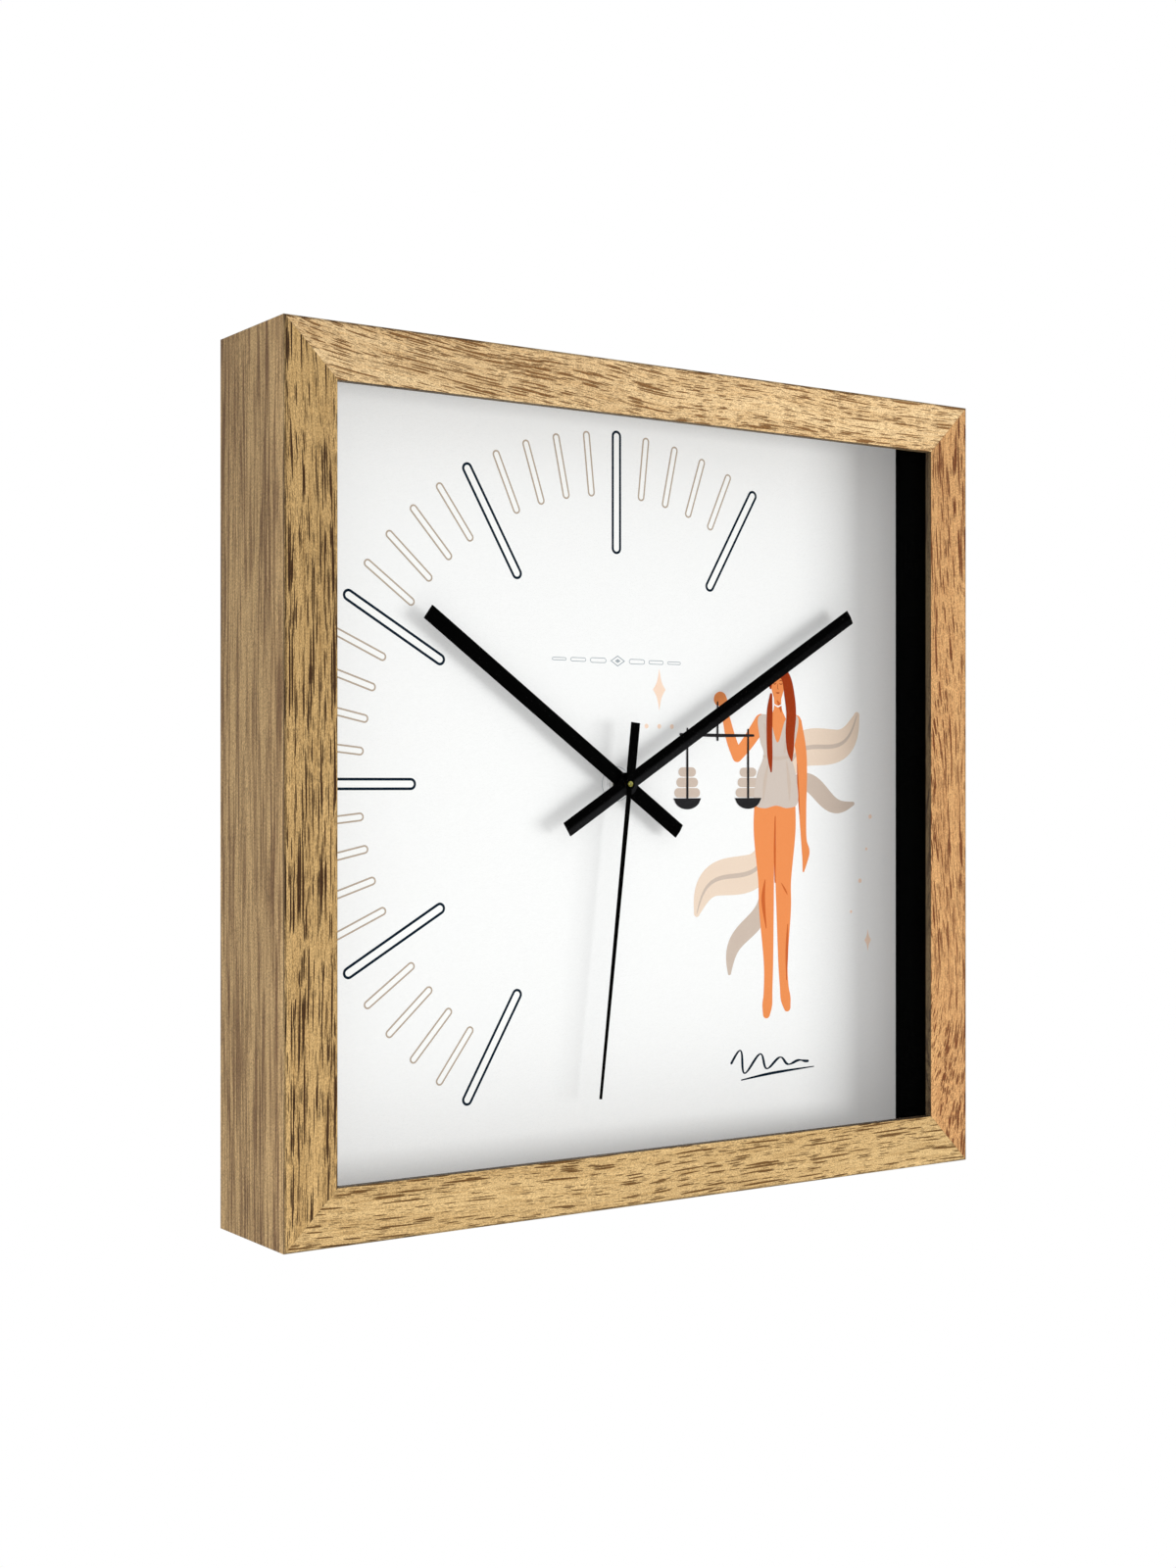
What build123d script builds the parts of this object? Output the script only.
from build123d import *
import os
from math import atan2, cos, hypot, pi, radians, sin

# A square wall clock: four mitred oak rails, flat glass, black spacers, a printed dial on a
# board, three hands in front of it and a battery quartz movement behind it.
# X is to the right and Z up, seen from the front, and the clock faces -Y. The wall is the
# plane Y = 0, and the origin is where the axis of the hands meets it. A height is a distance
# in front of the wall. A place is (X, Z). All sizes are in millimetres.

os.makedirs("parts", exist_ok=True)

# How many times as long as the head's radius a slot is cut, so that it runs out on both sides
SLOT_RUN = 3

# Frame
SIDE = 304.8
HALF = SIDE / 2
DEPTH = 49.2
FACE_WIDTH = 19.5
LIP_THICKNESS = 3.0
RAIL_WALL = 9.0
FRONT_EDGE_RADIUS = 0.5
LIP_EDGE = HALF - FACE_WIDTH
RABBET = HALF - RAIL_WALL
LIP_BACK = DEPTH - LIP_THICKNESS
RAILS = {"top_rail": 0, "right_rail": 90, "bottom_rail": 180, "left_rail": 270}

# Corner nails, driven into the back of each mitre
NAIL_DIAGONAL = 206.0
NAIL_REACH = 3.5
NAIL_SPREAD = 3.0
NAIL_THICKNESS = 1.0
NAIL_DEPTH = 9.0

# Glass, spacers, printed sheet and board, from the front to the back
PANE_HALF = RABBET - 0.4
GLASS_THICKNESS = 2.0
GLASS_BACK = LIP_BACK - GLASS_THICKNESS
DIAL_FACE = 19.3
PRINT_THICKNESS = 0.3
BOARD_THICKNESS = 2.4
BOARD_FRONT = DIAL_FACE - PRINT_THICKNESS
BOARD_BACK = BOARD_FRONT - BOARD_THICKNESS
SPACER_THICKNESS = 2.0
SPACER_FACE = RABBET - SPACER_THICKNESS
SPACER_SIDES = {
    "spacer_top": (0, 1),
    "spacer_bottom": (0, -1),
    "spacer_left": (-1, 0),
    "spacer_right": (1, 0),
}

# Flat retaining points that hold the board, half of each in the wood
POINT_LENGTH = 10.0
POINT_WIDTH = 6.0
POINT_THICKNESS = 0.6
POINT_OFFSET = 70.0
POINT_HEIGHT = BOARD_BACK - POINT_THICKNESS

# Hanger bracket: an angle plate under the top rail, with a keyhole
BRACKET_WIDTH = 50.0
BRACKET_PLATE = 1.5
BRACKET_BACK = 3.0
BRACKET_LEG = 11.0
BRACKET_FOOT = 112.0
BRACKET_CORNER = 6.0
KEYHOLE_CENTRE = 125.0
KEYHOLE_RADIUS = 4.5
KEYHOLE_SLOT = 4.2
KEYHOLE_SLOT_TOP = 135.0
SCREW_OFFSET = 17.0
SCREW_HEIGHT = 9.5
SCREW_RADIUS = 1.4
SCREW_CLEARANCE = 0.2
SCREW_HEAD_RADIUS = 2.9
SCREW_HEAD = 1.8
SCREW_GRIP = 6.5
SCREW_SLOT_WIDTH = 0.8
SCREW_SLOT_DEPTH = 0.7
SCREW_PLACES = ((SCREW_OFFSET, -SCREW_HEIGHT), (-SCREW_OFFSET, -SCREW_HEIGHT))

# Movement case and cover
CASE_HALF = 28.0
CASE_SKIN = 1.0
CASE_CORNER = 2.0
CASE_BACK = 0.8
CASE_FRONT = 16.0
CASE_INNER = CASE_HALF - CASE_SKIN
CASE_FLOOR = CASE_FRONT - CASE_SKIN
BAY_FLOOR = 15.3
BAY_TOP = -12.3
TRAIN_BOTTOM = BAY_TOP + CASE_SKIN
NOTCH_RADIUS = 6.0
COVER_THICKNESS = 1.0
COVER_FRONT = CASE_BACK + COVER_THICKNESS
COVER_BOTTOM = TRAIN_BOTTOM - CASE_SKIN / 2
SKIRT_GAP = 0.1
SKIRT_THICKNESS = 0.8
SKIRT_HEIGHT = 1.2
PAD_RADIUS = 11.0

# Bush, nut and the holes that they pass through
BUSH_RADIUS = 3.4
BUSH_BORE = 2.65
BUSH_FRONT = 20.4
BUSH_HOLE = 3.6
PRINT_HOLE = 3.7
NUT_RADIUS = 4.7
NUT_LIP = 0.5
NUT_LIP_BORE = 2.8
NUT_FRONT = BUSH_FRONT + NUT_LIP
NUT_SLOT_WIDTH = 1.2
NUT_SLOT_DEPTH = 0.3
EDGE_BREAK = 0.3

# Train: tooth counts, distances between arbors, and their places
ROTOR_TEETH, INTERMEDIATE_WHEEL_TEETH = 8, 48
INTERMEDIATE_TEETH, SECONDS_WHEEL_TEETH = 8, 40
SECONDS_TEETH, THIRD_WHEEL_TEETH = 8, 60
THIRD_TEETH, CENTRE_WHEEL_TEETH = 8, 64
CANNON_TEETH, MINUTE_WHEEL_TEETH = 10, 30
MINUTE_TEETH, HOUR_WHEEL_TEETH = 10, 40
THIRD_DISTANCE = 11.0
INTERMEDIATE_DISTANCE = 7.2
ROTOR_DISTANCE = 7.0
MOTION_DISTANCE = 12.0
THIRD_DIRECTION = 60.0
INTERMEDIATE_DIRECTION = 340.0
ROTOR_DIRECTION = 350.0
MOTION_DIRECTION = 150.0


def away(place, distance, direction):
    """The place at this distance and direction, in degrees, from another place."""
    return (place[0] + distance * cos(radians(direction)), place[1] + distance * sin(radians(direction)))


CENTRE = (0.0, 0.0)
THIRD = away(CENTRE, THIRD_DISTANCE, THIRD_DIRECTION)
INTERMEDIATE = away(CENTRE, INTERMEDIATE_DISTANCE, INTERMEDIATE_DIRECTION)
ROTOR = away(INTERMEDIATE, ROTOR_DISTANCE, ROTOR_DIRECTION)
MOTION = away(CENTRE, MOTION_DISTANCE, MOTION_DIRECTION)

# Layers of the train: the back of each wheel or pinion, and its thickness
HOUR_WHEEL_BACK = 13.7
MINUTE_PINION_BACK = 13.2
MINUTE_WHEEL_BACK = 12.2
CANNON_BACK = 12.0
CANNON_WIDTH = 1.4
CENTRE_WHEEL_BACK = 10.8
THIRD_PINION_BACK = 10.4
PLATE_BACK = 9.4
PLATE_THICKNESS = 0.8
PLATE_FRONT = PLATE_BACK + PLATE_THICKNESS
THIRD_WHEEL_BACK = 8.1
SECONDS_PINION_BACK = 7.8
SECONDS_WHEEL_BACK = 6.4
INTERMEDIATE_PINION_BACK = 6.1
INTERMEDIATE_WHEEL_BACK = 4.7
ROTOR_PINION_BACK = 4.4
MAGNET_BACK = 6.6
MAGNET_WIDTH = 2.4
MAGNET_RADIUS = 2.8
WHEEL_WIDTH = 0.8
MOTION_WHEEL_WIDTH = 1.0
PINION_WIDTH = 1.4
ARBOR_RADIUS = 0.5
ARBOR_BACK = 2.0
ARBOR_FRONT = PLATE_FRONT - 0.1
PIVOT_GAP = 0.06
PIVOT_BORE = ARBOR_RADIUS + PIVOT_GAP
BOSS_RADIUS = 1.3
BOSS_HEIGHT = 1.2
SPOKE_GAPS = 5
SPOKE_WALL = 0.9

# Teeth, as shares of the angular pitch and of the module
WHEEL_TOOTH, PINION_TOOTH = 0.38, 0.34
WHEEL_ADDENDUM, PINION_ADDENDUM = 0.75, 0.65
WHEEL_DEDENDUM, PINION_DEDENDUM = 1.05, 1.15
TIP_SHARE = 0.16
ROOT_SPREAD = 1.25

# Motion work in front of the dial
MINUTE_ARBOR_RADIUS = 0.8
MINUTE_ARBOR_BACK = 1.2
MINUTE_PIVOT_FRONT = 15.5
MINUTE_PIVOT_HOLE = 0.6
CANNON_RADIUS = 1.75
CANNON_BORE = 0.58
CANNON_FRONT = 27.4
HOUR_PIPE_RADIUS = 2.58
HOUR_PIPE_BORE = 1.83
HOUR_PIPE_FRONT = 25.4
SECONDS_ARBOR_FRONT = 28.2

# Setting knob in its dish in the cover
DISH_RADIUS = 7.0
DISH_WALL = 0.8
DISH_FLOOR_BACK = 3.2
KNOB_RADIUS = 6.2
KNOB_BACK = 0.9
KNOB_FRONT = 3.0
KNOB_FLUTES = 18
FLUTE_RADIUS = 0.45

# Middle plate, stator, coil and circuit
PLATE_HALF = 26.4
PLATE_BOTTOM = -10.7
PLATE_POST = 23.5
PLATE_POST_BOTTOM = -7.5
POST_RADIUS = 1.5
MOTION_CLEARANCE = 1.2
STATOR_BACK = 7.2
STATOR_THICKNESS = 1.2
STATOR_FRONT = STATOR_BACK + STATOR_THICKNESS
STATOR_RING = 5.2
STATOR_BORE = 3.3
STATOR_ARM = 2.5
STATOR_STRIP_LEFT = 16.3
COIL_AXIS = 22.7
COIL_BOTTOM, COIL_TOP = -9.5, 13.5
CORE_BACK = 6.0
CORE_WIDTH = 2.4
BOBBIN_RADIUS = 3.5
BARREL_RADIUS = 1.6
BOBBIN_BOTTOM, BOBBIN_TOP = -6.5, 10.5
FLANGE = 0.6
WINDING_RADIUS = 3.2
COIL_SCREW_RADIUS = 0.6
COIL_SCREW_HEAD = 1.2
COIL_SCREW_HEAD_HEIGHT = 0.7
CIRCUIT_LEFT, CIRCUIT_RIGHT = -16.0, 8.0
CIRCUIT_BOTTOM, CIRCUIT_TOP = 20.4, 26.2
CIRCUIT_THICKNESS = 1.0
CHIP_PLACE = (-8.0, 23.2)
CHIP_RADIUS = 2.2
CHIP_HEIGHT = 0.9
CRYSTAL_PLACE = (-1.0, 23.2)
CRYSTAL_RADIUS = 1.0
CRYSTAL_LENGTH = 6.0

# AA cell and its contacts
CELL_RADIUS = 7.25
CELL_AXIS_HEIGHT = 7.95
CELL_AXIS_Z = -19.65
CELL_LEFT = -24.5
CELL_SHOULDER = 25.0
CELL_RIGHT = 26.0
NUB_RADIUS = 2.75
CONTACT_THICKNESS = 0.4
CONTACT_BACK = 3.0
CONTACT_HEIGHT = 10.0
CONTACT_WIDTH = 9.0
DIMPLE_RADIUS = 2.0
DIMPLE_GAP = 0.1
LEAF_HALF = 1.0

# Hands: clockwise angles from 12 at rest, lengths from the centre, and heights
HOUR_ANGLE, MINUTE_ANGLE, SECOND_ANGLE = 305.6, 58.5, 186.5
HOUR_TIP, HOUR_TAIL = 104.3, 31.0
MINUTE_TIP, MINUTE_TAIL = 128.6, 32.0
HAND_WIDTH = 5.75
HAND_EDGE = 0.5
HAND_RIDGE = 0.9
HOUR_HAND_BACK = 24.7
MINUTE_HAND_BACK = 26.5
HUB_RADIUS = 4.3
HOUR_HUB_BACK = 23.2
MINUTE_HUB_BACK = 25.9
SECOND_HAND_BACK = 27.9
SECOND_THICKNESS = 0.4
SECOND_TIP, SECOND_TAIL = 117.2, 23.1
NEEDLE_ROOT, NEEDLE_END = 2.0, 1.05
TAIL_WIDTH = 3.9
TAIL_NECK_START = 5.5
TAIL_NECK = 2.4
SECOND_HUB = 2.0
EYELET_BACK = 27.6
EYELET_TUBE = 0.8
EYELET_FLANGE = 1.1
EYELET_FLANGE_HEIGHT = 0.5


def front_plane(height):
    """A plane parallel to the wall, whose sketches extrude towards the front."""
    return Plane.XZ.offset(height)


def middle(low, high):
    return (low + high) / 2


def section_plane(turn):
    """The plane of a rail's section, for the rail on this side, clockwise from the top."""
    outward = Vector(sin(radians(turn)), 0, cos(radians(turn)))
    return Plane(origin=(0, 0, 0), x_dir=outward, z_dir=(outward.Z, 0, -outward.X))


def hand_plane(angle, tail):
    """The plane of a hand's section at its tail end, with local y towards the front."""
    direction = Vector(sin(radians(angle)), 0, cos(radians(angle)))
    return Plane(origin=direction * -tail, x_dir=(-direction.Z, 0, direction.X), z_dir=direction)


def sketch_points():
    """The retaining points' outlines, two on each side."""
    with PolarLocations(RABBET, 4):
        with Locations((0, POINT_OFFSET), (0, -POINT_OFFSET)):
            Rectangle(POINT_LENGTH, POINT_WIDTH)


def sketch_nails():
    """The corner nails' V outlines, one across each mitre."""
    with PolarLocations(NAIL_DIAGONAL, 4, start_angle=45):
        Polygon(
            (0, 0),
            (NAIL_REACH, -NAIL_SPREAD),
            (NAIL_REACH + NAIL_THICKNESS, -NAIL_SPREAD),
            (NAIL_THICKNESS, 0),
            (NAIL_REACH + NAIL_THICKNESS, NAIL_SPREAD),
            (NAIL_REACH, NAIL_SPREAD),
            align=None,
        )


def outline(place, mate, teeth, mate_teeth, wheel):
    """A gear's outline. A wheel has a tooth, and a pinion a gap, facing its mate."""
    module = 2 * hypot(mate[0] - place[0], mate[1] - place[1]) / (teeth + mate_teeth)
    pitch = 2 * pi / teeth
    tooth = (WHEEL_TOOTH if wheel else PINION_TOOTH) * pitch / 2
    tip = TIP_SHARE * pitch / 2
    radius = module * teeth / 2
    root_radius = radius - (WHEEL_DEDENDUM if wheel else PINION_DEDENDUM) * module
    tip_radius = radius + (WHEEL_ADDENDUM if wheel else PINION_ADDENDUM) * module
    start = atan2(mate[1] - place[1], mate[0] - place[0]) + (0 if wheel else pitch / 2)
    flank = ((root_radius, -tooth * ROOT_SPREAD), (radius, -tooth), (tip_radius, -tip))
    tooth_corners = flank + tuple((r, -angle) for r, angle in reversed(flank))
    points = []
    for index in range(teeth):
        for r, angle in tooth_corners:
            turned = start + index * pitch + angle
            points.append((place[0] + r * cos(turned), place[1] + r * sin(turned)))
    return points


def wheel_root(place, mate, teeth, mate_teeth):
    """The radius inside a wheel's teeth."""
    module = 2 * hypot(mate[0] - place[0], mate[1] - place[1]) / (teeth + mate_teeth)
    return module * (teeth / 2 - WHEEL_DEDENDUM)


def spoke_holes(place, root, hub):
    """Round holes between a wheel's hub and its rim, to subtract in a sketch."""
    ring = middle(hub, root)
    largest = min((root - hub) / 2, ring * sin(pi / SPOKE_GAPS))
    with Locations(place):
        with PolarLocations(ring, SPOKE_GAPS):
            Circle(largest - SPOKE_WALL, mode=Mode.SUBTRACT)


def disc(height, radius, thickness, place=CENTRE, mode=Mode.ADD):
    """A round step of the part that is being built."""
    with BuildSketch(front_plane(height)) as step:
        with Locations(place):
            Circle(radius)
    extrude(step.sketch, amount=thickness, mode=mode)


# Rails
for name, turn in RAILS.items():
    section = section_plane(turn)
    with BuildPart() as rail:
        with BuildSketch(section) as profile:
            Polygon(
                (RABBET, 0),
                (HALF, 0),
                (HALF, DEPTH),
                (LIP_EDGE, DEPTH),
                (LIP_EDGE, LIP_BACK),
                (RABBET, LIP_BACK),
                align=None,
            )
            fillet(profile.vertices().group_by(Axis.Y)[-1], radius=FRONT_EDGE_RADIUS)
        extrude(amount=HALF, both=True)
        for side in (1, -1):
            mitre = section.x_dir + section.z_dir * side
            split(bisect_by=Plane(origin=(0, 0, 0), z_dir=mitre), keep=Keep.TOP)
        with BuildSketch(front_plane(POINT_HEIGHT)):
            sketch_points()
        extrude(amount=POINT_THICKNESS, mode=Mode.SUBTRACT)
        with BuildSketch(front_plane(0)):
            sketch_nails()
        extrude(amount=NAIL_DEPTH, mode=Mode.SUBTRACT)
        if name == "top_rail":
            with BuildSketch(Plane.XY.offset(RABBET)):
                with Locations(*SCREW_PLACES):
                    Circle(SCREW_RADIUS)
            extrude(amount=SCREW_GRIP, mode=Mode.SUBTRACT)
    rail.part.label = name
    export_step(rail.part, f"parts/{name}.step")

with BuildPart() as corner_nails:
    with BuildSketch(front_plane(0)):
        sketch_nails()
    extrude(amount=NAIL_DEPTH)
corner_nails.part.label = "corner_nails"
export_step(corner_nails.part, "parts/corner_nails.step")

with BuildPart() as retaining_points:
    with BuildSketch(front_plane(POINT_HEIGHT)):
        sketch_points()
    extrude(amount=POINT_THICKNESS)
retaining_points.part.label = "retaining_points"
export_step(retaining_points.part, "parts/retaining_points.step")

# Glass, spacers, printed sheet and board
with BuildPart() as front_glass:
    with BuildSketch(front_plane(GLASS_BACK)):
        Rectangle(2 * PANE_HALF, 2 * PANE_HALF)
    extrude(amount=GLASS_THICKNESS)
    chamfer(front_glass.edges(), length=EDGE_BREAK)
front_glass.part.label = "front_glass"
export_step(front_glass.part, "parts/front_glass.step")

for name, (right, up) in SPACER_SIDES.items():
    offset = middle(SPACER_FACE, RABBET)
    length = 2 * RABBET if up else 2 * SPACER_FACE
    with BuildPart() as spacer:
        with BuildSketch(front_plane(DIAL_FACE)):
            with Locations((right * offset, up * offset)):
                Rectangle(length if up else SPACER_THICKNESS, SPACER_THICKNESS if up else length)
        extrude(amount=GLASS_BACK - DIAL_FACE)
    spacer.part.label = name
    export_step(spacer.part, f"parts/{name}.step")

with BuildPart() as dial_print:
    with BuildSketch(front_plane(BOARD_FRONT)):
        Rectangle(2 * PANE_HALF, 2 * PANE_HALF)
        Circle(PRINT_HOLE, mode=Mode.SUBTRACT)
    extrude(amount=PRINT_THICKNESS)
dial_print.part.label = "dial_print"
export_step(dial_print.part, "parts/dial_print.step")

with BuildPart() as dial_board:
    with BuildSketch(front_plane(BOARD_BACK)):
        Rectangle(2 * PANE_HALF, 2 * PANE_HALF)
        Circle(BUSH_HOLE, mode=Mode.SUBTRACT)
    extrude(amount=BOARD_THICKNESS)
dial_board.part.label = "dial_board"
export_step(dial_board.part, "parts/dial_board.step")

# Hanger bracket and its screws
LEG_UNDERSIDE = RABBET - BRACKET_PLATE

with BuildPart() as hanger_bracket:
    with BuildSketch(front_plane(BRACKET_BACK)) as plate:
        with Locations((0, middle(BRACKET_FOOT, RABBET))):
            Rectangle(BRACKET_WIDTH, RABBET - BRACKET_FOOT)
        fillet(plate.vertices().group_by(Axis.Y)[0], radius=BRACKET_CORNER)
        with Locations((0, KEYHOLE_CENTRE)):
            Circle(KEYHOLE_RADIUS, mode=Mode.SUBTRACT)
        with Locations((0, middle(KEYHOLE_CENTRE, KEYHOLE_SLOT_TOP))):
            Rectangle(KEYHOLE_SLOT, KEYHOLE_SLOT_TOP - KEYHOLE_CENTRE, mode=Mode.SUBTRACT)
        with Locations((0, KEYHOLE_SLOT_TOP)):
            Circle(KEYHOLE_SLOT / 2, mode=Mode.SUBTRACT)
    extrude(amount=BRACKET_PLATE)
    with BuildSketch(front_plane(BRACKET_BACK)):
        with Locations((0, RABBET - BRACKET_PLATE / 2)):
            Rectangle(BRACKET_WIDTH, BRACKET_PLATE)
    extrude(amount=BRACKET_LEG)
    with BuildSketch(Plane.XY.offset(LEG_UNDERSIDE)):
        with Locations(*SCREW_PLACES):
            Circle(SCREW_RADIUS + SCREW_CLEARANCE)
    extrude(amount=BRACKET_PLATE, mode=Mode.SUBTRACT)
hanger_bracket.part.label = "hanger_bracket"
export_step(hanger_bracket.part, "parts/hanger_bracket.step")

with BuildPart() as bracket_screws:
    with BuildSketch(Plane.XY.offset(LEG_UNDERSIDE - SCREW_HEAD)):
        with Locations(*SCREW_PLACES):
            Circle(SCREW_HEAD_RADIUS)
    extrude(amount=SCREW_HEAD)
    chamfer(bracket_screws.edges().group_by(Axis.Z)[0], length=2 * EDGE_BREAK)
    with BuildSketch(Plane.XY.offset(LEG_UNDERSIDE)):
        with Locations(*SCREW_PLACES):
            Circle(SCREW_RADIUS)
    extrude(amount=BRACKET_PLATE + SCREW_GRIP)
    with BuildSketch(Plane.XY.offset(LEG_UNDERSIDE - SCREW_HEAD)):
        with Locations(*SCREW_PLACES):
            Rectangle(SLOT_RUN * SCREW_HEAD_RADIUS, SCREW_SLOT_WIDTH)
    extrude(amount=SCREW_SLOT_DEPTH, mode=Mode.SUBTRACT)
bracket_screws.part.label = "bracket_screws"
export_step(bracket_screws.part, "parts/bracket_screws.step")

# Movement case, with the train on top and the battery bay below
POSTS = [(x, z) for x in (-PLATE_POST, PLATE_POST) for z in (PLATE_POST_BOTTOM, PLATE_POST)]

with BuildPart() as movement_case:
    with BuildSketch(front_plane(CASE_BACK)):
        RectangleRounded(2 * CASE_HALF, 2 * CASE_HALF, CASE_CORNER)
    extrude(amount=CASE_FRONT - CASE_BACK)
    with BuildSketch(front_plane(CASE_BACK)):
        with Locations((0, middle(TRAIN_BOTTOM, CASE_INNER))):
            Rectangle(2 * CASE_INNER, CASE_INNER - TRAIN_BOTTOM)
    extrude(amount=CASE_FLOOR - CASE_BACK, mode=Mode.SUBTRACT)
    with BuildSketch(front_plane(CASE_BACK)):
        with Locations((0, middle(-CASE_INNER, BAY_TOP))):
            Rectangle(2 * CASE_INNER, BAY_TOP + CASE_INNER)
    extrude(amount=BAY_FLOOR - CASE_BACK, mode=Mode.SUBTRACT)
    with BuildSketch(front_plane(CASE_BACK)):
        with Locations((0, middle(COVER_BOTTOM, CASE_HALF))):
            Rectangle(2 * CASE_HALF, CASE_HALF - COVER_BOTTOM)
    extrude(amount=COVER_THICKNESS, mode=Mode.SUBTRACT)
    with BuildSketch(front_plane(PLATE_FRONT)):
        with Locations(*POSTS):
            Circle(POST_RADIUS)
    extrude(amount=CASE_FLOOR - PLATE_FRONT)
    disc(CASE_FLOOR, BUSH_RADIUS, CASE_SKIN, mode=Mode.SUBTRACT)
    disc(CASE_FLOOR, PIVOT_BORE, MINUTE_PIVOT_HOLE, place=MOTION, mode=Mode.SUBTRACT)
    with BuildSketch(Plane.XY.offset(-CASE_HALF)):
        with Locations((0, -CASE_BACK)):
            Circle(NOTCH_RADIUS)
    extrude(amount=CASE_SKIN, mode=Mode.SUBTRACT)
movement_case.part.label = "movement_case"
export_step(movement_case.part, "parts/movement_case.step")

with BuildPart() as movement_cover:
    with BuildSketch(front_plane(CASE_BACK)) as lid:
        with Locations((0, middle(COVER_BOTTOM, CASE_HALF))):
            Rectangle(2 * CASE_HALF, CASE_HALF - COVER_BOTTOM)
        fillet(lid.vertices().group_by(Axis.Y)[-1], radius=CASE_CORNER)
    extrude(amount=COVER_THICKNESS)
    with BuildSketch(front_plane(COVER_FRONT)):
        skirt_half = CASE_INNER - SKIRT_GAP
        skirt_bottom = TRAIN_BOTTOM + SKIRT_GAP
        with Locations((0, middle(skirt_bottom, skirt_half))):
            Rectangle(2 * skirt_half, skirt_half - skirt_bottom)
            Rectangle(
                2 * (skirt_half - SKIRT_THICKNESS),
                skirt_half - skirt_bottom - 2 * SKIRT_THICKNESS,
                mode=Mode.SUBTRACT,
            )
    extrude(amount=SKIRT_HEIGHT)
    disc(CASE_BACK, DISH_RADIUS + DISH_WALL, DISH_FLOOR_BACK + DISH_WALL - CASE_BACK, place=MOTION)
    disc(CASE_BACK, DISH_RADIUS, DISH_FLOOR_BACK - CASE_BACK, place=MOTION, mode=Mode.SUBTRACT)
    disc(DISH_FLOOR_BACK, MINUTE_ARBOR_RADIUS + PIVOT_GAP, DISH_WALL, place=MOTION, mode=Mode.SUBTRACT)
    for place in (CENTRE, THIRD, INTERMEDIATE, ROTOR):
        disc(COVER_FRONT, BOSS_RADIUS, BOSS_HEIGHT, place=place)
        disc(COVER_FRONT, PIVOT_BORE, BOSS_HEIGHT, place=place, mode=Mode.SUBTRACT)
movement_cover.part.label = "movement_cover"
export_step(movement_cover.part, "parts/movement_cover.step")

with BuildPart() as mounting_pad:
    disc(CASE_FRONT, PAD_RADIUS, BOARD_BACK - CASE_FRONT)
    disc(CASE_FRONT, BUSH_HOLE, BOARD_BACK - CASE_FRONT, mode=Mode.SUBTRACT)
mounting_pad.part.label = "mounting_pad"
export_step(mounting_pad.part, "parts/mounting_pad.step")

with BuildPart() as threaded_bush:
    disc(CASE_FLOOR, BUSH_RADIUS, BUSH_FRONT - CASE_FLOOR)
    disc(CASE_FLOOR, BUSH_BORE, BUSH_FRONT - CASE_FLOOR, mode=Mode.SUBTRACT)
    chamfer(threaded_bush.edges().group_by(Axis.Y)[0].sort_by(SortBy.LENGTH)[-1], length=EDGE_BREAK)
threaded_bush.part.label = "threaded_bush"
export_step(threaded_bush.part, "parts/threaded_bush.step")

# The nut's lip closes over the end of the bush
with BuildPart() as fixing_nut:
    disc(DIAL_FACE, NUT_RADIUS, NUT_FRONT - DIAL_FACE)
    chamfer(fixing_nut.edges().group_by(Axis.Y)[0], length=EDGE_BREAK)
    disc(DIAL_FACE, BUSH_RADIUS, BUSH_FRONT - DIAL_FACE, mode=Mode.SUBTRACT)
    disc(BUSH_FRONT, NUT_LIP_BORE, NUT_LIP, mode=Mode.SUBTRACT)
    with BuildSketch(front_plane(NUT_FRONT - NUT_SLOT_DEPTH)):
        Rectangle(SLOT_RUN * NUT_RADIUS, NUT_SLOT_WIDTH)
    extrude(amount=NUT_SLOT_DEPTH, mode=Mode.SUBTRACT)
fixing_nut.part.label = "fixing_nut"
export_step(fixing_nut.part, "parts/fixing_nut.step")

# Middle plate, which carries the front pivots of the train
SCREW_SPOTS = [(COIL_AXIS, COIL_BOTTOM + STATOR_ARM / 2), (COIL_AXIS, COIL_TOP - STATOR_ARM / 2)]

with BuildPart() as middle_plate:
    with BuildSketch(front_plane(PLATE_BACK)):
        with Locations((0, middle(PLATE_BOTTOM, PLATE_HALF))):
            Rectangle(2 * PLATE_HALF, PLATE_HALF - PLATE_BOTTOM)
        with Locations((PLATE_HALF, middle(BOBBIN_BOTTOM, BOBBIN_TOP))):
            Rectangle(
                2 * (PLATE_HALF - COIL_AXIS + BOBBIN_RADIUS + EDGE_BREAK),
                BOBBIN_TOP - BOBBIN_BOTTOM + 2 * EDGE_BREAK,
                mode=Mode.SUBTRACT,
            )
        with Locations(CENTRE, THIRD, INTERMEDIATE, ROTOR):
            Circle(PIVOT_BORE, mode=Mode.SUBTRACT)
        with Locations(MOTION):
            Circle(MOTION_CLEARANCE, mode=Mode.SUBTRACT)
    extrude(amount=PLATE_THICKNESS)
    for spot in SCREW_SPOTS:
        disc(STATOR_FRONT, COIL_SCREW_HEAD, PLATE_BACK - STATOR_FRONT, place=spot)
        disc(STATOR_FRONT, COIL_SCREW_RADIUS, PLATE_FRONT - STATOR_FRONT, place=spot, mode=Mode.SUBTRACT)
middle_plate.part.label = "middle_plate"
export_step(middle_plate.part, "parts/middle_plate.step")

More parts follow.
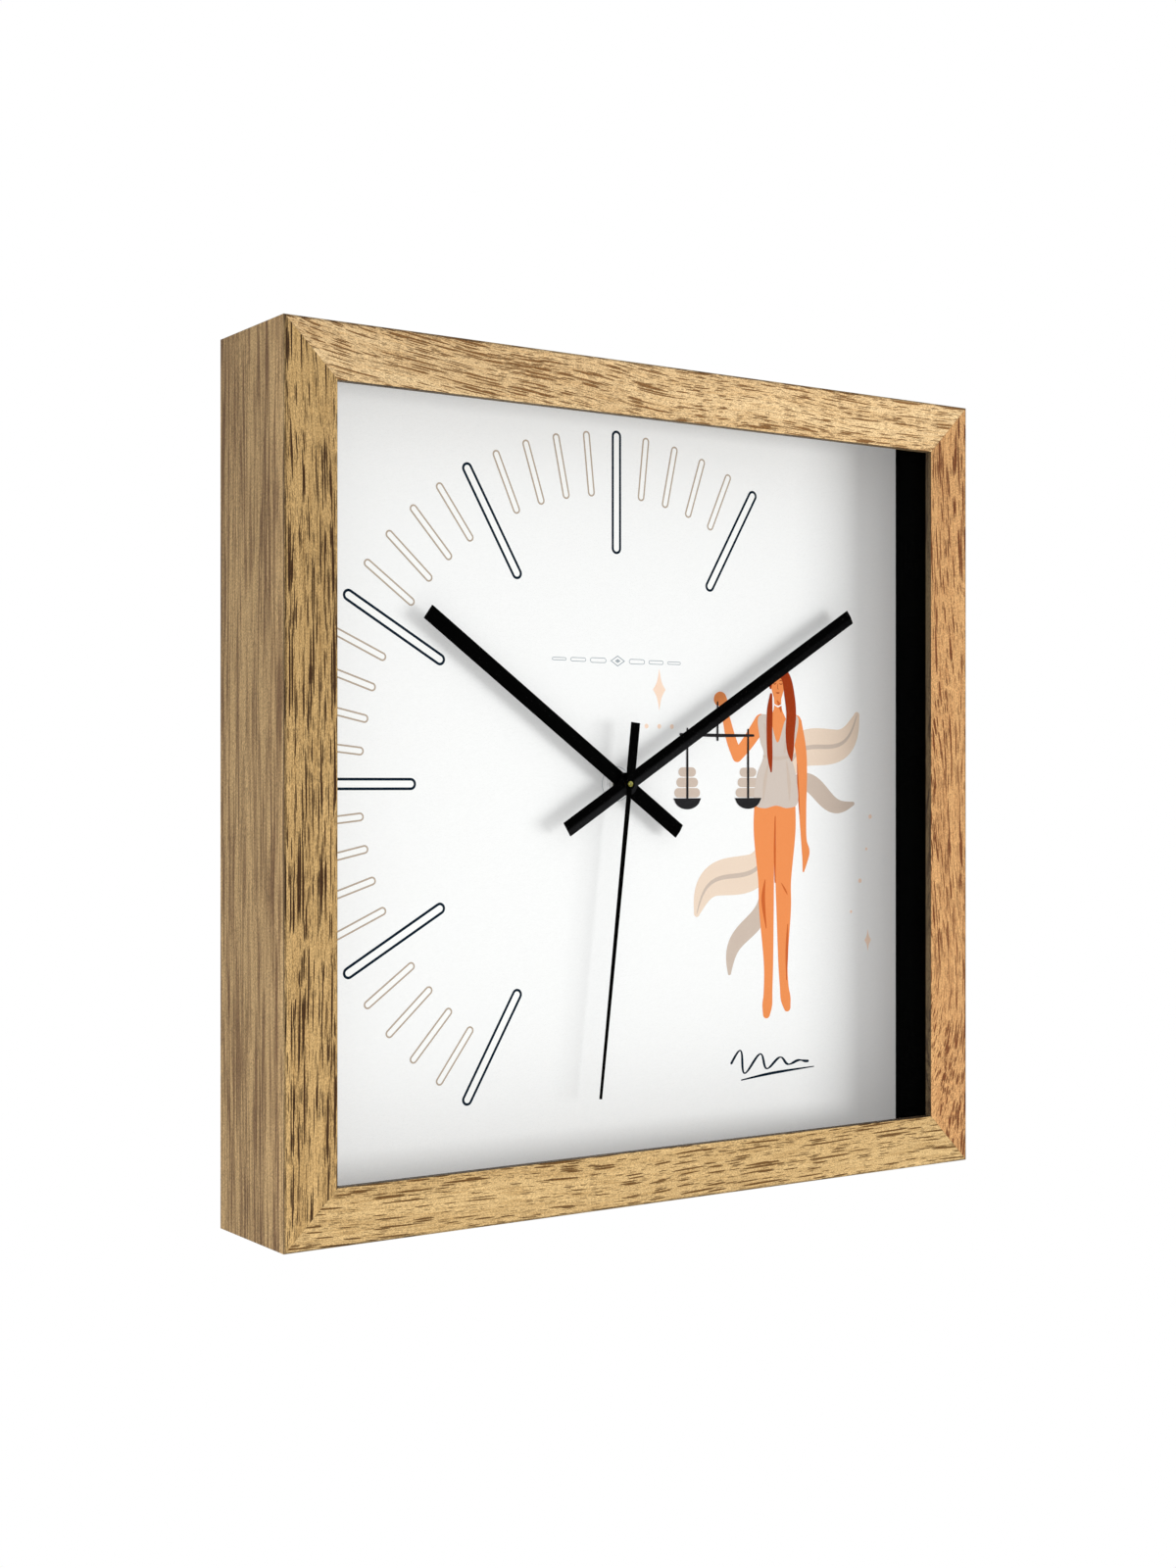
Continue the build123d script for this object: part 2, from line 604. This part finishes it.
# Stepping motor
with BuildPart() as stator:
    with BuildSketch(front_plane(STATOR_BACK)):
        arm_right = COIL_AXIS + STATOR_ARM / 2
        with Locations(ROTOR):
            Circle(STATOR_RING)
        with Locations((middle(ROTOR[0], arm_right), COIL_BOTTOM + STATOR_ARM / 2)):
            Rectangle(arm_right - ROTOR[0], STATOR_ARM)
        with Locations((STATOR_STRIP_LEFT + STATOR_ARM / 2, middle(ROTOR[1], COIL_TOP))):
            Rectangle(STATOR_ARM, COIL_TOP - ROTOR[1])
        with Locations((middle(STATOR_STRIP_LEFT, arm_right), COIL_TOP - STATOR_ARM / 2)):
            Rectangle(arm_right - STATOR_STRIP_LEFT, STATOR_ARM)
        with Locations(ROTOR):
            Circle(STATOR_BORE, mode=Mode.SUBTRACT)
        with Locations(*SCREW_SPOTS):
            Circle(COIL_SCREW_RADIUS, mode=Mode.SUBTRACT)
    extrude(amount=STATOR_THICKNESS)
stator.part.label = "stator"
export_step(stator.part, "parts/stator.step")

with BuildPart() as coil_core:
    with BuildSketch(front_plane(CORE_BACK)):
        with Locations((COIL_AXIS, middle(COIL_BOTTOM, COIL_TOP))):
            Rectangle(CORE_WIDTH, COIL_TOP - COIL_BOTTOM)
        with Locations(*SCREW_SPOTS):
            Circle(COIL_SCREW_RADIUS, mode=Mode.SUBTRACT)
    extrude(amount=STATOR_BACK - CORE_BACK)
coil_core.part.label = "coil_core"
export_step(coil_core.part, "parts/coil_core.step")

COIL_CENTRE = (COIL_AXIS, -middle(CORE_BACK, STATOR_BACK))

with BuildPart() as coil_bobbin:
    for bottom, radius, length in (
        (BOBBIN_BOTTOM, BOBBIN_RADIUS, FLANGE),
        (BOBBIN_BOTTOM + FLANGE, BARREL_RADIUS, BOBBIN_TOP - BOBBIN_BOTTOM - 2 * FLANGE),
        (BOBBIN_TOP - FLANGE, BOBBIN_RADIUS, FLANGE),
    ):
        with BuildSketch(Plane.XY.offset(bottom)) as ring:
            with Locations(COIL_CENTRE):
                Circle(radius)
                Rectangle(CORE_WIDTH, STATOR_BACK - CORE_BACK, mode=Mode.SUBTRACT)
        extrude(ring.sketch, amount=length)
coil_bobbin.part.label = "coil_bobbin"
export_step(coil_bobbin.part, "parts/coil_bobbin.step")

with BuildPart() as coil_winding:
    with BuildSketch(Plane.XY.offset(BOBBIN_BOTTOM + FLANGE)):
        with Locations(COIL_CENTRE):
            Circle(WINDING_RADIUS)
            Circle(BARREL_RADIUS, mode=Mode.SUBTRACT)
    extrude(amount=BOBBIN_TOP - BOBBIN_BOTTOM - 2 * FLANGE)
coil_winding.part.label = "coil_winding"
export_step(coil_winding.part, "parts/coil_winding.step")

with BuildPart() as coil_screws:
    for spot in SCREW_SPOTS:
        disc(CORE_BACK - COIL_SCREW_HEAD_HEIGHT, COIL_SCREW_HEAD, COIL_SCREW_HEAD_HEIGHT, place=spot)
        disc(CORE_BACK, COIL_SCREW_RADIUS, PLATE_FRONT - CORE_BACK, place=spot)
coil_screws.part.label = "coil_screws"
export_step(coil_screws.part, "parts/coil_screws.step")

# Circuit
CIRCUIT_BACK = PLATE_BACK - CIRCUIT_THICKNESS

with BuildPart() as circuit_board:
    with BuildSketch(front_plane(CIRCUIT_BACK)):
        with Locations((middle(CIRCUIT_LEFT, CIRCUIT_RIGHT), middle(CIRCUIT_BOTTOM, CIRCUIT_TOP))):
            Rectangle(CIRCUIT_RIGHT - CIRCUIT_LEFT, CIRCUIT_TOP - CIRCUIT_BOTTOM)
    extrude(amount=CIRCUIT_THICKNESS)
circuit_board.part.label = "circuit_board"
export_step(circuit_board.part, "parts/circuit_board.step")

with BuildPart() as timer_chip:
    disc(CIRCUIT_BACK - CHIP_HEIGHT, CHIP_RADIUS, CHIP_HEIGHT, place=CHIP_PLACE)
    fillet(timer_chip.edges().group_by(Axis.Y)[-1], radius=CHIP_HEIGHT / 2)
timer_chip.part.label = "timer_chip"
export_step(timer_chip.part, "parts/timer_chip.step")

with BuildPart() as quartz_crystal:
    with BuildSketch(Plane.YZ.offset(CRYSTAL_PLACE[0])):
        with Locations((CRYSTAL_RADIUS - CIRCUIT_BACK, CRYSTAL_PLACE[1])):
            Circle(CRYSTAL_RADIUS)
    extrude(amount=CRYSTAL_LENGTH)
quartz_crystal.part.label = "quartz_crystal"
export_step(quartz_crystal.part, "parts/quartz_crystal.step")

# AA cell and contacts
with BuildPart() as battery:
    with BuildSketch(Plane.YZ.offset(CELL_LEFT)):
        with Locations((-CELL_AXIS_HEIGHT, CELL_AXIS_Z)):
            Circle(CELL_RADIUS)
    extrude(amount=CELL_SHOULDER - CELL_LEFT)
    chamfer(battery.edges().group_by(Axis.X)[-1], length=2 * EDGE_BREAK)
    chamfer(battery.edges().group_by(Axis.X)[0], length=EDGE_BREAK)
    with BuildSketch(Plane.YZ.offset(CELL_SHOULDER)):
        with Locations((-CELL_AXIS_HEIGHT, CELL_AXIS_Z)):
            Circle(NUB_RADIUS)
    extrude(amount=CELL_RIGHT - CELL_SHOULDER)
battery.part.label = "battery"
export_step(battery.part, "parts/battery.step")

with BuildPart() as contact_positive:
    with BuildSketch(Plane.YZ.offset(CASE_INNER - CONTACT_THICKNESS)):
        with Locations((-CONTACT_BACK - CONTACT_HEIGHT / 2, CELL_AXIS_Z)):
            Rectangle(CONTACT_HEIGHT, CONTACT_WIDTH)
    extrude(amount=CONTACT_THICKNESS)
    with BuildSketch(Plane.YZ.offset(CELL_RIGHT + DIMPLE_GAP)):
        with Locations((-CELL_AXIS_HEIGHT, CELL_AXIS_Z)):
            Circle(DIMPLE_RADIUS)
    extrude(amount=CASE_INNER - CONTACT_THICKNESS - CELL_RIGHT - DIMPLE_GAP)
contact_positive.part.label = "contact_positive"
export_step(contact_positive.part, "parts/contact_positive.step")

# The negative contact is one bent strip: its back lies on the wall and its leaf meets the cell
with BuildPart() as contact_negative:
    with BuildSketch(Plane.XY.offset(CELL_AXIS_Z - CONTACT_WIDTH / 2)):
        wall = -CASE_INNER
        touch = CELL_LEFT - DIMPLE_GAP
        Polygon(
            (wall, -CONTACT_BACK),
            (wall, -CONTACT_BACK - CONTACT_HEIGHT),
            (wall + CONTACT_THICKNESS, -CONTACT_BACK - CONTACT_HEIGHT),
            (touch, -CELL_AXIS_HEIGHT - LEAF_HALF),
            (touch, -CELL_AXIS_HEIGHT + LEAF_HALF),
            (touch - CONTACT_THICKNESS, -CELL_AXIS_HEIGHT + LEAF_HALF),
            (touch - CONTACT_THICKNESS, -CELL_AXIS_HEIGHT - LEAF_HALF),
            (wall + CONTACT_THICKNESS, -CONTACT_BACK - CONTACT_HEIGHT + 2 * CONTACT_THICKNESS),
            (wall + CONTACT_THICKNESS, -CONTACT_BACK),
            align=None,
        )
    extrude(amount=CONTACT_WIDTH)
contact_negative.part.label = "contact_negative"
export_step(contact_negative.part, "parts/contact_negative.step")

# Train, from the rotor to the centre wheel. Each row is an arbor with its pinion.
ARBORS = {
    "rotor_pinion": (
        ROTOR,
        INTERMEDIATE,
        ROTOR_TEETH,
        INTERMEDIATE_WHEEL_TEETH,
        ROTOR_PINION_BACK,
        ARBOR_FRONT,
    ),
    "intermediate_pinion": (
        INTERMEDIATE,
        CENTRE,
        INTERMEDIATE_TEETH,
        SECONDS_WHEEL_TEETH,
        INTERMEDIATE_PINION_BACK,
        ARBOR_FRONT,
    ),
    "seconds_pinion": (
        CENTRE,
        THIRD,
        SECONDS_TEETH,
        THIRD_WHEEL_TEETH,
        SECONDS_PINION_BACK,
        SECONDS_ARBOR_FRONT,
    ),
    "third_pinion": (
        THIRD,
        CENTRE,
        THIRD_TEETH,
        CENTRE_WHEEL_TEETH,
        THIRD_PINION_BACK,
        THIRD_PINION_BACK + PINION_WIDTH,
    ),
}
for name, (place, mate, teeth, mate_teeth, back, front) in ARBORS.items():
    with BuildPart() as arbor:
        disc(ARBOR_BACK, ARBOR_RADIUS, front - ARBOR_BACK, place=place)
        with BuildSketch(front_plane(back)):
            Polygon(*outline(place, mate, teeth, mate_teeth, False), align=None)
        extrude(amount=PINION_WIDTH)
    arbor.part.label = name
    export_step(arbor.part, f"parts/{name}.step")

# Wheels pressed on arbors. Each row is a wheel, its mate, its back and the radius of its bore.
WHEELS = {
    "intermediate_wheel": (
        INTERMEDIATE,
        ROTOR,
        INTERMEDIATE_WHEEL_TEETH,
        ROTOR_TEETH,
        INTERMEDIATE_WHEEL_BACK,
        ARBOR_RADIUS,
    ),
    "seconds_wheel": (
        CENTRE,
        INTERMEDIATE,
        SECONDS_WHEEL_TEETH,
        INTERMEDIATE_TEETH,
        SECONDS_WHEEL_BACK,
        ARBOR_RADIUS,
    ),
    "third_wheel": (THIRD, CENTRE, THIRD_WHEEL_TEETH, SECONDS_TEETH, THIRD_WHEEL_BACK, ARBOR_RADIUS),
    "centre_wheel": (CENTRE, THIRD, CENTRE_WHEEL_TEETH, THIRD_TEETH, CENTRE_WHEEL_BACK, CANNON_RADIUS),
}
for name, (place, mate, teeth, mate_teeth, back, bore) in WHEELS.items():
    with BuildPart() as wheel:
        with BuildSketch(front_plane(back)):
            Polygon(*outline(place, mate, teeth, mate_teeth, True), align=None)
            spoke_holes(place, wheel_root(place, mate, teeth, mate_teeth), bore)
            with Locations(place):
                Circle(bore, mode=Mode.SUBTRACT)
        extrude(amount=WHEEL_WIDTH)
    wheel.part.label = name
    export_step(wheel.part, f"parts/{name}.step")

with BuildPart() as rotor_magnet:
    disc(MAGNET_BACK, MAGNET_RADIUS, MAGNET_WIDTH, place=ROTOR)
    disc(MAGNET_BACK, ARBOR_RADIUS, MAGNET_WIDTH, place=ROTOR, mode=Mode.SUBTRACT)
rotor_magnet.part.label = "rotor_magnet"
export_step(rotor_magnet.part, "parts/rotor_magnet.step")

# Motion work
with BuildPart() as cannon_pinion:
    with BuildSketch(front_plane(CANNON_BACK)):
        Polygon(*outline(CENTRE, MOTION, CANNON_TEETH, MINUTE_WHEEL_TEETH, False), align=None)
    extrude(amount=CANNON_WIDTH)
    disc(CENTRE_WHEEL_BACK, CANNON_RADIUS, CANNON_FRONT - CENTRE_WHEEL_BACK)
    disc(CENTRE_WHEEL_BACK, CANNON_BORE, CANNON_FRONT - CENTRE_WHEEL_BACK, mode=Mode.SUBTRACT)
cannon_pinion.part.label = "cannon_pinion"
export_step(cannon_pinion.part, "parts/cannon_pinion.step")

with BuildPart() as minute_wheel:
    with BuildSketch(front_plane(MINUTE_WHEEL_BACK)):
        Polygon(*outline(MOTION, CENTRE, MINUTE_WHEEL_TEETH, CANNON_TEETH, True), align=None)
        spoke_holes(
            MOTION, wheel_root(MOTION, CENTRE, MINUTE_WHEEL_TEETH, CANNON_TEETH), MINUTE_ARBOR_RADIUS
        )
    extrude(amount=MOTION_WHEEL_WIDTH)
    with BuildSketch(front_plane(MINUTE_PINION_BACK)):
        Polygon(*outline(MOTION, CENTRE, MINUTE_TEETH, HOUR_WHEEL_TEETH, False), align=None)
    extrude(amount=HOUR_WHEEL_BACK + MOTION_WHEEL_WIDTH - MINUTE_PINION_BACK)
    disc(MINUTE_ARBOR_BACK, MINUTE_ARBOR_RADIUS, MINUTE_WHEEL_BACK - MINUTE_ARBOR_BACK, place=MOTION)
    disc(MINUTE_WHEEL_BACK, ARBOR_RADIUS, MINUTE_PIVOT_FRONT - MINUTE_WHEEL_BACK, place=MOTION)
minute_wheel.part.label = "minute_wheel"
export_step(minute_wheel.part, "parts/minute_wheel.step")

with BuildPart() as hour_wheel:
    with BuildSketch(front_plane(HOUR_WHEEL_BACK)):
        Polygon(*outline(CENTRE, MOTION, HOUR_WHEEL_TEETH, MINUTE_TEETH, True), align=None)
        spoke_holes(CENTRE, wheel_root(CENTRE, MOTION, HOUR_WHEEL_TEETH, MINUTE_TEETH), HOUR_PIPE_RADIUS)
    extrude(amount=MOTION_WHEEL_WIDTH)
    disc(HOUR_WHEEL_BACK, HOUR_PIPE_RADIUS, HOUR_PIPE_FRONT - HOUR_WHEEL_BACK)
    disc(HOUR_WHEEL_BACK, HOUR_PIPE_BORE, HOUR_PIPE_FRONT - HOUR_WHEEL_BACK, mode=Mode.SUBTRACT)
hour_wheel.part.label = "hour_wheel"
export_step(hour_wheel.part, "parts/hour_wheel.step")

with BuildPart() as setting_knob:
    with BuildSketch(front_plane(KNOB_BACK)):
        with Locations(MOTION):
            Circle(KNOB_RADIUS)
            Circle(MINUTE_ARBOR_RADIUS, mode=Mode.SUBTRACT)
            with PolarLocations(KNOB_RADIUS, KNOB_FLUTES):
                Circle(FLUTE_RADIUS, mode=Mode.SUBTRACT)
    extrude(amount=KNOB_FRONT - KNOB_BACK)
setting_knob.part.label = "setting_knob"
export_step(setting_knob.part, "parts/setting_knob.step")

# Hour and minute hands: bars with a low ridge along their middle, pressed on their pipes
BAR_HANDS = {
    "hour_hand": (HOUR_ANGLE, HOUR_TIP, HOUR_TAIL, HOUR_HAND_BACK, HOUR_PIPE_RADIUS),
    "minute_hand": (MINUTE_ANGLE, MINUTE_TIP, MINUTE_TAIL, MINUTE_HAND_BACK, CANNON_RADIUS),
}
for name, (angle, tip, tail, back, bore) in BAR_HANDS.items():
    with BuildPart() as hand:
        with BuildSketch(hand_plane(angle, tail)):
            Polygon(
                (-HAND_WIDTH / 2, back),
                (HAND_WIDTH / 2, back),
                (HAND_WIDTH / 2, back + HAND_EDGE),
                (0, back + HAND_RIDGE),
                (-HAND_WIDTH / 2, back + HAND_EDGE),
                align=None,
            )
        extrude(amount=tip + tail)
        disc(back, HUB_RADIUS, HAND_EDGE)
        disc(back, bore, HAND_RIDGE, mode=Mode.SUBTRACT)
    hand.part.label = name
    export_step(hand.part, f"parts/{name}.step")

HUBS = {
    "hour_hub": (HOUR_HUB_BACK, HOUR_HAND_BACK, HOUR_PIPE_RADIUS),
    "minute_hub": (MINUTE_HUB_BACK, MINUTE_HAND_BACK, CANNON_RADIUS),
}
for name, (back, front, bore) in HUBS.items():
    with BuildPart() as hub:
        disc(back, HUB_RADIUS, front - back)
        disc(back, bore, front - back, mode=Mode.SUBTRACT)
    hub.part.label = name
    export_step(hub.part, f"parts/{name}.step")

# Second hand: a tapered needle, a hub and a wider tail that narrows towards the hub
with BuildPart() as second_hand:
    with BuildSketch(front_plane(SECOND_HAND_BACK)):
        Polygon(
            (-NEEDLE_END / 2, SECOND_TIP),
            (NEEDLE_END / 2, SECOND_TIP),
            (NEEDLE_ROOT / 2, 0),
            (TAIL_NECK / 2, 0),
            (TAIL_WIDTH / 2, -TAIL_NECK_START),
            (TAIL_WIDTH / 2, -SECOND_TAIL),
            (-TAIL_WIDTH / 2, -SECOND_TAIL),
            (-TAIL_WIDTH / 2, -TAIL_NECK_START),
            (-TAIL_NECK / 2, 0),
            (-NEEDLE_ROOT / 2, 0),
            rotation=-SECOND_ANGLE,
            align=None,
        )
        Circle(SECOND_HUB)
        Circle(EYELET_TUBE, mode=Mode.SUBTRACT)
    extrude(amount=SECOND_THICKNESS)
second_hand.part.label = "second_hand"
export_step(second_hand.part, "parts/second_hand.step")

with BuildPart() as hand_eyelet:
    second_front = SECOND_HAND_BACK + SECOND_THICKNESS
    disc(EYELET_BACK, EYELET_TUBE, second_front - EYELET_BACK)
    disc(second_front, EYELET_FLANGE, EYELET_FLANGE_HEIGHT)
    fillet(hand_eyelet.edges().group_by(Axis.Y)[0], radius=EYELET_FLANGE_HEIGHT / 2)
    disc(EYELET_BACK, ARBOR_RADIUS, second_front + EYELET_FLANGE_HEIGHT - EYELET_BACK, mode=Mode.SUBTRACT)
hand_eyelet.part.label = "hand_eyelet"
export_step(hand_eyelet.part, "parts/hand_eyelet.step")
